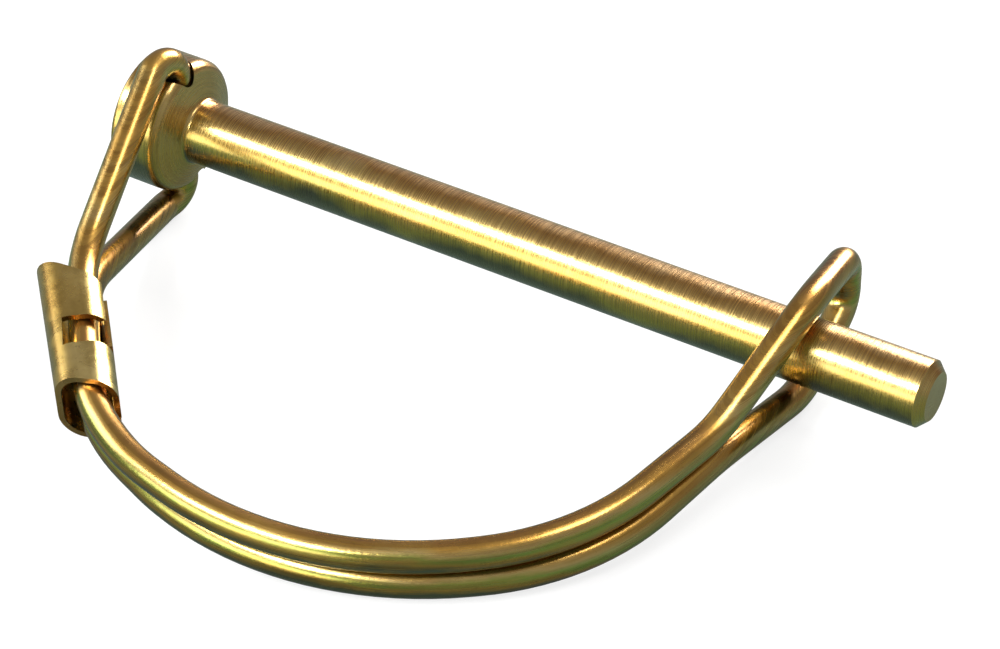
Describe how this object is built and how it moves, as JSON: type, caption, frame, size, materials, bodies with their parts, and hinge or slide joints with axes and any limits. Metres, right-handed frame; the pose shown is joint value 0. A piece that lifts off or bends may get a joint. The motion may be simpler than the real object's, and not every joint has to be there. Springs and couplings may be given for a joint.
{
  "type": "shaft locking pin with wire bail",
  "caption": "Straight round pin with a cross-drilled head that carries a double-wire bail, whose end loop snaps over the shank to lock it.",
  "frame": {"origin": "on the pin's axis, where the shank starts at the root of the head", "axes": "+X along the pin from the head to the tip; +Z along the axis of the head's cross-hole; the closed bail lies on the -Y side"},
  "size_m": [0.0798, 0.0543, 0.0188],
  "materials": {
    "pin_steel": "turned, yellow zinc plated",
    "wire_steel": "drawn, yellow zinc plated",
    "clip_steel": "folded sheet, yellow zinc plated"
  },
  "bodies": {
    "pin": {"pin": "pin_steel"},
    "bail": {"bail_wire": "wire_steel", "clip": "clip_steel"}
  },
  "joints": [
    {"name": "bail_swing", "type": "hinge", "parent": "pin", "child": "bail", "pos_m": [-0.0025, 0, 0], "axis": [0, 0, 1], "range_deg": [-260, 2], "deforming": ["bail_wire"]}
  ]
}
